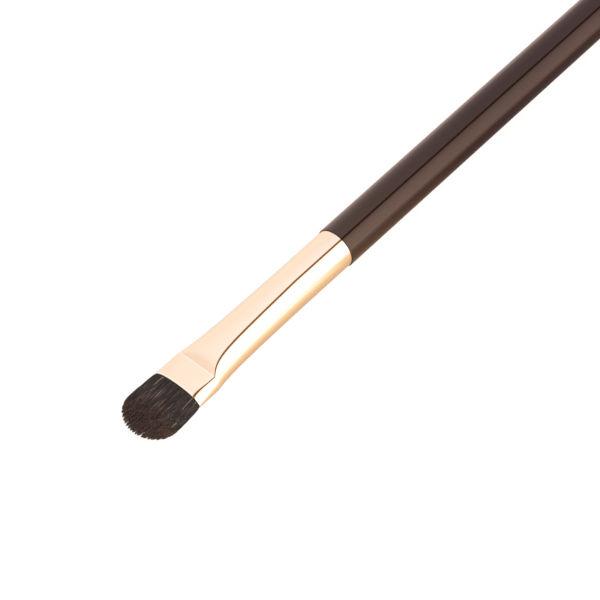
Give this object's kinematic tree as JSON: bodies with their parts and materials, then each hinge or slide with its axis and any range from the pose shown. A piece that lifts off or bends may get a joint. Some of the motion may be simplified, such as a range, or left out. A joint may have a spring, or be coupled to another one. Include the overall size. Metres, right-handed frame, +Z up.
{
  "type": "eyeshadow brush",
  "caption": "Flat domed eyeshadow brush: a dense tuft of dark hair in a pressed gold-tone metal ferrule, glued onto the tenon of a lacquered wooden handle.",
  "frame": {"origin": "centre of the bounding box's underside, where the handle's straight stretch rests on the surface", "axes": "+X along the brush from the tuft to the handle's tail, +Y across the tuft's width, +Z up through its thickness"},
  "size_m": [0.1711, 0.0102, 0.0076],
  "materials": {
    "hair": "dense soft dark-brown hair, matt with fine lighter streaks",
    "resin": "cured amber resin",
    "plated_brass": "mirror-polished rose-gold plating",
    "adhesive": "cured wood adhesive",
    "turned_wood": "bare turned wood, sealed under the lacquer",
    "lacquer": "dipped high-gloss dark-brown lacquer"
  },
  "bodies": {
    "root": {"bristles": "hair", "root_glue": "resin", "ferrule": "plated_brass", "tenon_glue": "adhesive", "handle_core": "turned_wood", "lacquer_coat": "lacquer"}
  },
  "joints": []
}
